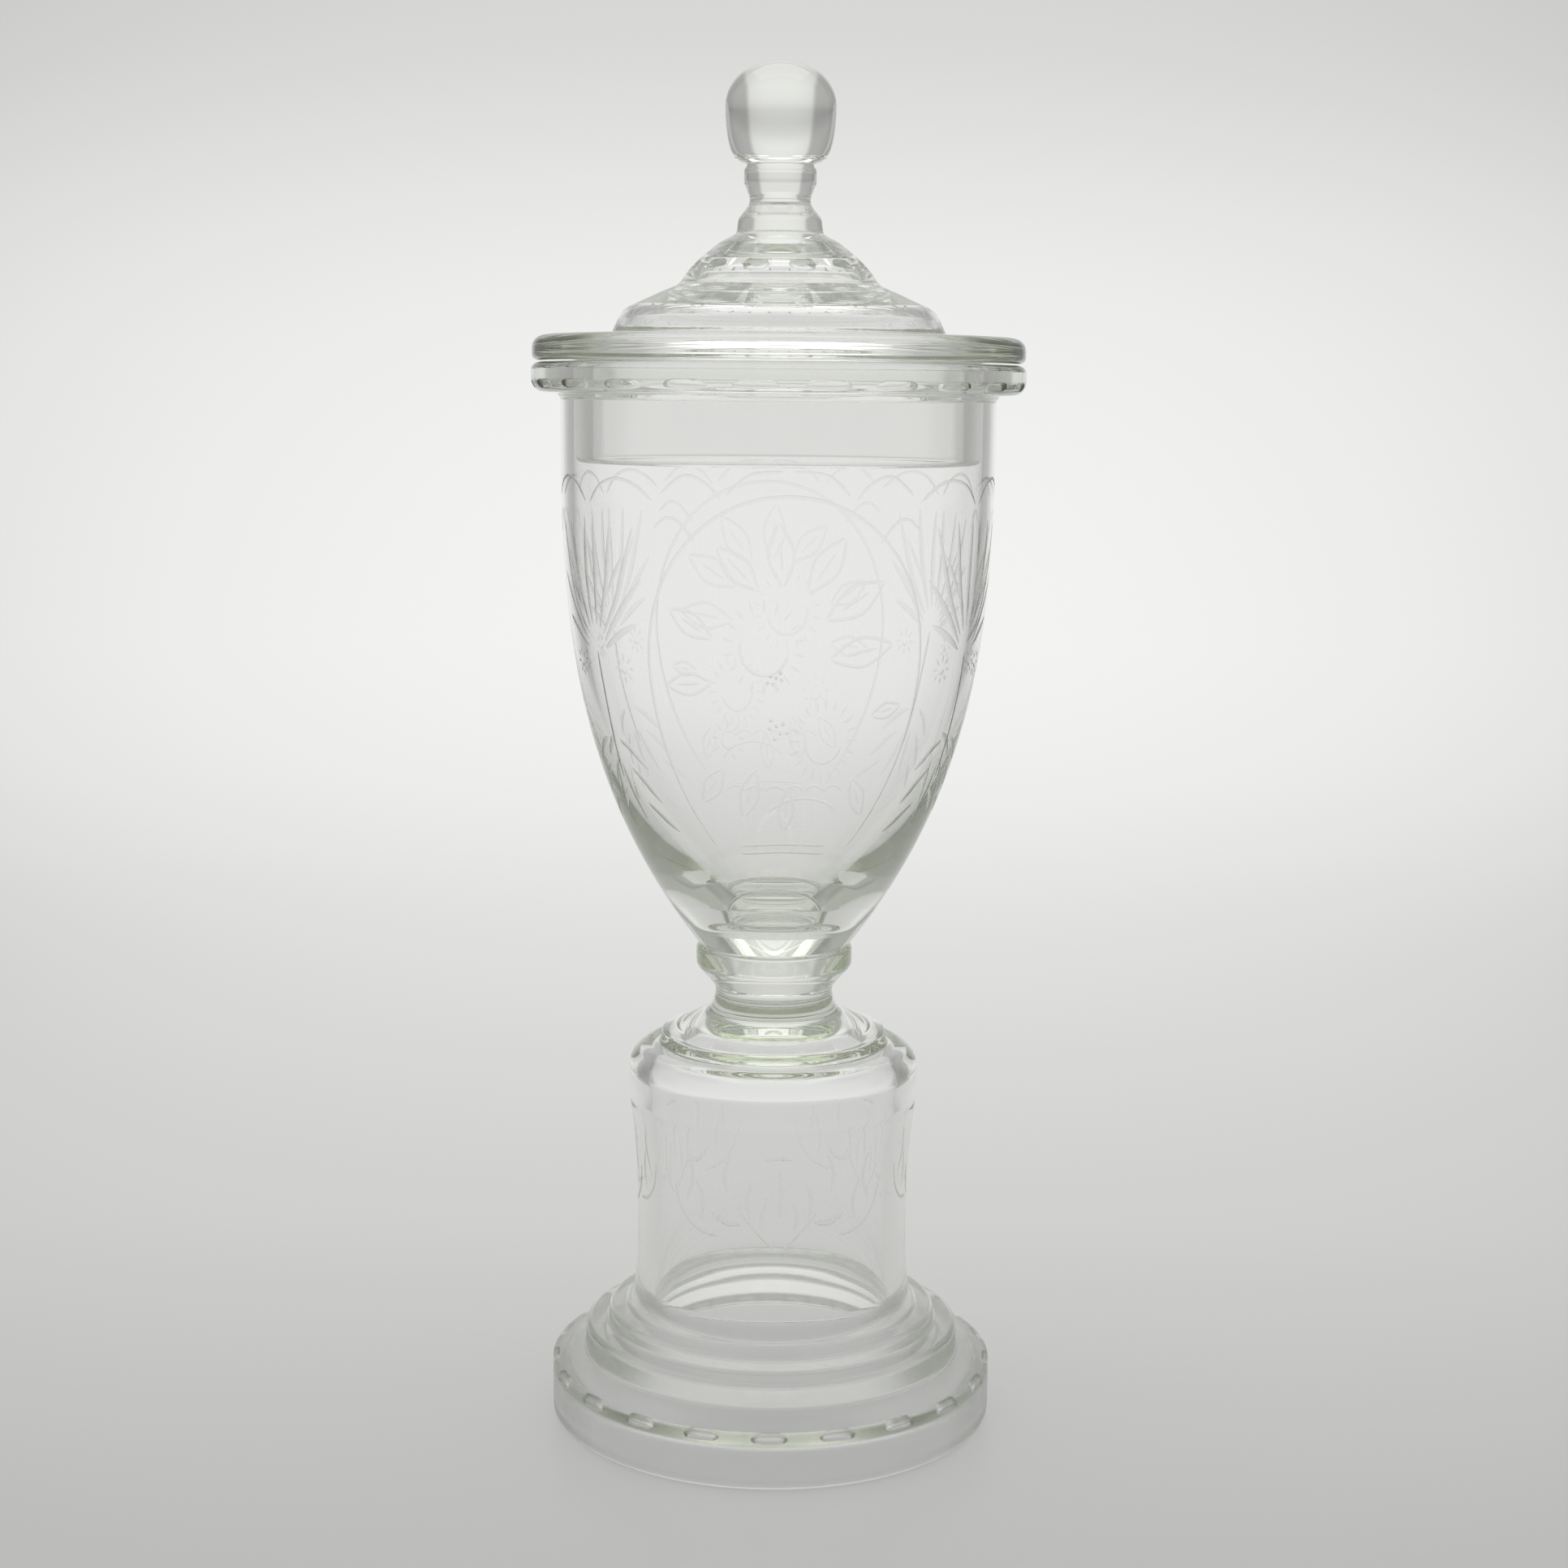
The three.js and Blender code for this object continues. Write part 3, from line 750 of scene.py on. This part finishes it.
def cover_cuts():
    """Olives round the shoulder of the bell, and pairs of small leaves round the dome."""
    place = wall(cover_radius)
    pair = mirrored([blade([(0.5, -0.8), (1.5, 0), (2.8, 0.5)], 0.9)])
    cuts = all_round(
        [olive(5.6, 3.6, 1.0)], place, BELL_OLIVES, 0.5, BELL_OLIVE_HEIGHT, BELL_OLIVE_RADIUS)
    return cuts + all_round(pair, place, DOME_LEAVES, 0.5, DOME_LEAF_HEIGHT, DOME_LEAF_RADIUS)


def foot_and_rim_cuts():
    """Sprigs round the drum, and rows of olives round the plinth's shoulder and the rim's lower edge."""
    place = wall(drum_radius)
    cuts = [(s, place) for turn in SPRIG_TURNS
            for s in placed(sprig(), turn, SPRIG_HEIGHT, drum.radius, SPRIG_FAINTNESS)]
    cuts += all_round(
        [olive(8, 2.4, 0.7)], edge(plinth.radius - PLINTH_OLIVE_INSET, PLINTH_OLIVE_LEAN),
        PLINTH_OLIVES, 0, PLINTH_SIDE - PLINTH_OLIVE_DROP, plinth.radius)
    return cuts + all_round(
        [olive(9.6, 2.8, 0.6)], edge(rim.radius - RIM_OLIVE_INSET, RIM_OLIVE_LEAN),
        RIM_OLIVES, 0.7, rim.foot + RIM_OLIVE_RISE, rim.radius)


glass = glass_material()

goblet_outline = pedestal_hollow() + goblet_outside()[1:] + bowl_cavity()
goblet_glass = spun("goblet_glass", goblet_outline)
goblet_glass.data.materials.append(glass)
carve(goblet_glass, bowl_cuts() + foot_and_rim_cuts())
finish_surface(goblet_glass.data, goblet_outline)
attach(goblet_glass, "goblet")
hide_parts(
    "foot_plinth", "foot_lower_ring", "foot_upper_ring", "pedestal_drum", "pedestal_cap",
    "stem_neck", "stem_collar", "bowl", "bowl_rim",
)

cover_glass = spun("cover_glass", cover_outline())
cover_glass.data.materials.append(glass)
carve(cover_glass, cover_cuts())
finish_surface(cover_glass.data, cover_outline())
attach(cover_glass, "cover")
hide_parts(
    "cover_fitting_ring", "cover_flange", "cover_dome", "cover_bell", "finial_collar",
    "finial_knop", "finial_ball",
)


def graded(tree, value, stops):
    """A value looked up on a smooth curve along (position, level) stops."""
    low, high = stops[0][0], stops[-1][0]
    share = maths(tree, "DIVIDE", maths(tree, "SUBTRACT", value, low), high - low)
    ramp = tree.nodes.new("ShaderNodeValToRGB")
    ramp.color_ramp.interpolation = "B_SPLINE"
    while len(ramp.color_ramp.elements) < len(stops):
        ramp.color_ramp.elements.new(0.5)
    for element, (position, level) in zip(ramp.color_ramp.elements, stops):
        element.position = (position - low) / (high - low)
        element.color = (level, level, level, 1)
    tree.links.new(share, ramp.inputs[0])
    return ramp.outputs["Color"]


def seen_directly(tree):
    """One for rays from the camera, off a gloss or through glass, and none for rays that give light."""
    path = tree.nodes.new("ShaderNodeLightPath")
    total = maths(tree, "ADD", path.outputs["Is Camera Ray"], path.outputs["Is Glossy Ray"])
    total = maths(tree, "ADD", total, path.outputs["Is Transmission Ray"])
    return maths(tree, "MINIMUM", total, 1.0)


# Light crosses many walls of the cover and the bowl, and turns back many times inside their edges.
GLASS_BOUNCES = 48

# How bright the paper's painted glow is: along the floor to the back, up the backdrop and out to the
# sides, where painted shade darkens it. The sides darken fully only behind the object, by the share that
# SIDE_SHADE gives along the floor.
FLOOR_GLOW = [(-0.12, 0.47), (0.0, 0.57), (0.13, 0.66), (0.44, 0.745), (0.72, 0.82), (1.2, 0.93)]
WALL_GLOW = [(0.0, 1.0), (0.12, 1.0), (0.26, 0.97), (0.36, 0.92), (0.46, 0.82), (0.56, 0.74),
             (0.64, 0.74), (0.8, 0.95), (1.1, 1.1), (1.7, 1.15)]
SIDE_GLOW = [(0.0, 1.0), (0.05, 0.93), (0.09, 0.88), (0.105, 0.8), (0.13, 0.56), (0.16, 0.5),
             (0.3, 0.5), (1.0, 0.4)]
SIDE_SHADE = [(-0.2, 0.2), (0.0, 0.25), (0.25, 0.7), (0.5, 1.0), (0.8, 1.0)]
NEAR_PAPER = 0.35

# The paper's extent in metres, and how far it lies below the foot
SWEEP_FRONT, SWEEP_BEND, SWEEP_RADIUS, SWEEP_TOP = -3.0, 0.9, 0.8, 3.0
SWEEP_HALF_WIDTH = 3
SWEEP_STEPS = 24
FLOOR_GAP = 0.00005

# The world's level from front to back, and from the middle to both sides
WORLD_ALONG = [(-1.0, 0.3), (-0.6, 0.5), (-0.2, 0.85), (0.3, 0.95), (1.0, 0.95)]
WORLD_ASIDE = [(0.0, 1.0), (0.5, 1.0), (0.75, 0.7), (1.0, 0.5)]

CAMERA_PLACE = (0.0019, -0.561, 0.229)
CAMERA_TILT = math.radians(90 - 8.63)
CAMERA_ROLL = math.radians(0.5)
CAMERA_LENS = 58.7


def sweep_material():
    """Pale studio paper: shaded by the lamps near the goblet, and beyond it a painted glow, with painted
    shade towards the front and the sides.
    """
    material = bpy.data.materials.new("studio_sweep")
    material.use_nodes = True
    tree = material.node_tree
    paper = tree.nodes["Principled BSDF"]
    paper.inputs["Base Color"].default_value = (0.74, 0.74, 0.73, 1)
    paper.inputs["Roughness"].default_value = 0.25
    place = tree.nodes.new("ShaderNodeTexCoord")
    axes = tree.nodes.new("ShaderNodeSeparateXYZ")
    tree.links.new(place.outputs["Object"], axes.inputs[0])
    across, along, up = axes.outputs
    # Painted shade: the glow is darkened towards the sides, fully only behind the object
    spread = maths(tree, "DIVIDE", across, maths(tree, "ADD", maths(tree, "MAXIMUM", along, -0.1), 0.6))
    side_level = graded(tree, maths(tree, "MULTIPLY", spread, spread), SIDE_GLOW)
    shade = maths(tree, "SUBTRACT", 1.0, side_level)
    shade = maths(tree, "MULTIPLY", shade, graded(tree, along, SIDE_SHADE))
    aside = maths(tree, "SUBTRACT", 1.0, shade)
    level = maths(tree, "MULTIPLY", graded(tree, along, FLOOR_GLOW), graded(tree, up, WALL_GLOW))
    glow = tree.nodes.new("ShaderNodeEmission")
    glow.inputs["Color"].default_value = (1, 1, 0.99, 1)
    tree.links.new(maths(tree, "MULTIPLY", level, aside), glow.inputs["Strength"])
    reach = maths(tree, "POWER", maths(tree, "ADD", maths(tree, "MULTIPLY", across, across),
                                       maths(tree, "MULTIPLY", along, along)), 0.5)
    share = graded(tree, reach, [(0.0, 1 - NEAR_PAPER), (0.08, 1 - NEAR_PAPER), (0.35, 1.0), (0.5, 1.0)])
    mix = tree.nodes.new("ShaderNodeMixShader")
    tree.links.new(maths(tree, "MULTIPLY", share, seen_directly(tree)), mix.inputs[0])
    tree.links.new(paper.outputs[0], mix.inputs[1])
    tree.links.new(glow.outputs[0], mix.inputs[2])
    tree.links.new(mix.outputs[0], tree.nodes["Material Output"].inputs["Surface"])
    return material


def studio_sweep():
    """A floor that curves up into a backdrop behind the goblet."""
    path = [(SWEEP_FRONT, 0.0), (SWEEP_BEND, 0.0)]
    for step in range(1, SWEEP_STEPS + 1):
        angle = math.pi / 2 * step / SWEEP_STEPS
        drop = SWEEP_RADIUS * math.cos(angle)
        path.append((SWEEP_BEND + SWEEP_RADIUS * math.sin(angle), SWEEP_RADIUS - drop))
    path.append((SWEEP_BEND + SWEEP_RADIUS, SWEEP_TOP))
    verts = [(side, y, z - FLOOR_GAP) for y, z in path for side in (-SWEEP_HALF_WIDTH, SWEEP_HALF_WIDTH)]
    faces = [(2 * i, 2 * i + 1, 2 * i + 3, 2 * i + 2) for i in range(len(path) - 1)]
    mesh = bpy.data.meshes.new("studio_sweep")
    mesh.from_pydata(verts, [], faces)
    mesh.shade_smooth()
    mesh.materials.append(sweep_material())
    sweep = bpy.data.objects.new("studio_sweep", mesh)
    bpy.context.scene.collection.objects.link(sweep)


def studio_world():
    """A bright, soft surrounding, darker behind the camera and at both sides."""
    world = bpy.data.worlds.new("studio")
    world.use_nodes = True
    tree = world.node_tree
    background = tree.nodes["Background"]
    place = tree.nodes.new("ShaderNodeTexCoord")
    axes = tree.nodes.new("ShaderNodeSeparateXYZ")
    tree.links.new(place.outputs["Generated"], axes.inputs[0])
    level = graded(tree, axes.outputs[1], WORLD_ALONG)
    aside = graded(tree, maths(tree, "ABSOLUTE", axes.outputs[0]), WORLD_ASIDE)
    tree.links.new(maths(tree, "MULTIPLY", level, aside), background.inputs["Strength"])
    background.inputs["Color"].default_value = (1, 1, 1, 1)
    bpy.context.scene.world = world


def area_lamp(name, place, target, size, power):
    """A rectangular lamp that faces its target."""
    data = bpy.data.lights.new(name, "AREA")
    data.shape = "RECTANGLE"
    data.size, data.size_y = size
    data.energy = power
    lamp = bpy.data.objects.new(name, data)
    bpy.context.scene.collection.objects.link(lamp)
    lamp.location = place
    lamp.rotation_euler = (Vector(target) - Vector(place)).to_track_quat("-Z", "Y").to_euler()


def add_camera():
    """A camera that looks down a little, as fitted to the ellipses of the rim and the foot."""
    data = bpy.data.cameras.new("camera")
    data.lens = CAMERA_LENS
    data.sensor_width = 36
    camera = bpy.data.objects.new("camera", data)
    bpy.context.scene.collection.objects.link(camera)
    tilt = Matrix.Rotation(CAMERA_TILT, 4, "X")
    roll = Matrix.Rotation(CAMERA_ROLL, 4, "Z")
    camera.matrix_world = Matrix.Translation(CAMERA_PLACE) @ tilt @ roll
    bpy.context.scene.camera = camera


studio_sweep()
studio_world()
area_lamp("top_light", (0, 0.3, 1.6), (0, 0.3, 0), (1.6, 1.2), 4)
area_lamp("backdrop_light", (0, 0.9, 1.2), (0, 1.6, 0.35), (1.4, 0.5), 2)
add_camera()
bpy.context.scene.view_settings.view_transform = "Standard"
light_paths = bpy.context.scene.cycles
light_paths.max_bounces = light_paths.transmission_bounces = light_paths.glossy_bounces = GLASS_BOUNCES
